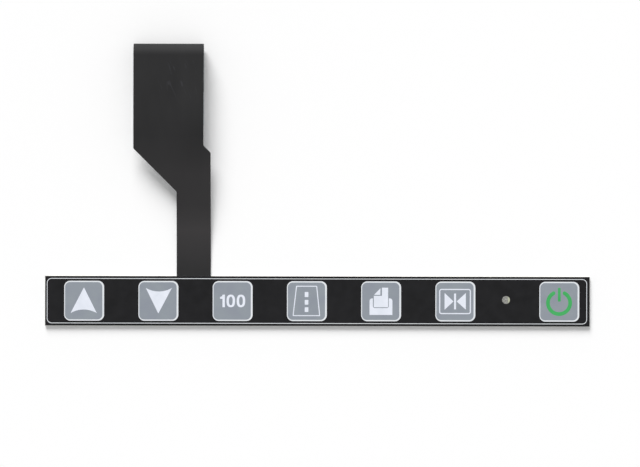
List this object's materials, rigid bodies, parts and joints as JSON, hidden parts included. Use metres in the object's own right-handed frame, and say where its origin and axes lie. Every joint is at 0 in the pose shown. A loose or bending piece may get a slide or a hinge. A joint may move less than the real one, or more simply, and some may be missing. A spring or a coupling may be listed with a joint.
{
  "type": "membrane keypad",
  "caption": "Flat self-adhesive membrane keypad bar with square snap-dome keys, a round indicator window and a film tail folded under itself.",
  "frame": {"origin": "middle of the bar's rear face, on the liner", "axes": "+X along the bar towards the power key, +Y towards the tail, +Z out of the keys' face"},
  "size_m": [0.198, 0.1024, 0.008],
  "materials": {
    "liner_paper": "smooth siliconed paper, matte",
    "adhesive": "clear acrylic adhesive",
    "circuit_polyester": "clear polyester film",
    "silver_ink": "screen-printed silver, satin",
    "tail_black": "black polyester film, matte",
    "carbon_ink": "screen-printed carbon, matte",
    "stiffener_polyester": "milky polyester sheet",
    "spacer_polyester": "milky polyester sheet",
    "dome_steel": "rolled spring steel",
    "indicator_board": "white moulded carrier",
    "indicator_epoxy": "cast epoxy",
    "retainer_polyester": "clear polyester film",
    "overlay_polyester": "clear polyester film",
    "black_ink": "screen-printed, matte",
    "window_ink": "screen-printed, translucent",
    "white_ink": "screen-printed, matte",
    "grey_ink": "screen-printed, matte",
    "sign_white_ink": "screen-printed signs, matte",
    "sign_green_ink": "screen-printed power sign, matte"
  },
  "bodies": {
    "root": {"release_liner": "liner_paper", "rear_adhesive": "adhesive", "circuit_film": "circuit_polyester", "silver_circuit": "silver_ink", "tail_cover": "tail_black", "contact_fingers": "carbon_ink", "tail_stiffener": "stiffener_polyester", "dome_spacer": "spacer_polyester", "snap_dome_up": "dome_steel", "snap_dome_down": "dome_steel", "snap_dome_number": "dome_steel", "snap_dome_road": "dome_steel", "snap_dome_page": "dome_steel", "snap_dome_frame": "dome_steel", "snap_dome_power": "dome_steel", "indicator_base": "indicator_board", "indicator_lens": "indicator_epoxy", "dome_retainer": "retainer_polyester", "front_adhesive": "adhesive", "overlay_film": "overlay_polyester", "black_print": "black_ink", "window_print": "window_ink", "white_print": "white_ink", "grey_print": "grey_ink"}
  },
  "joints": []
}
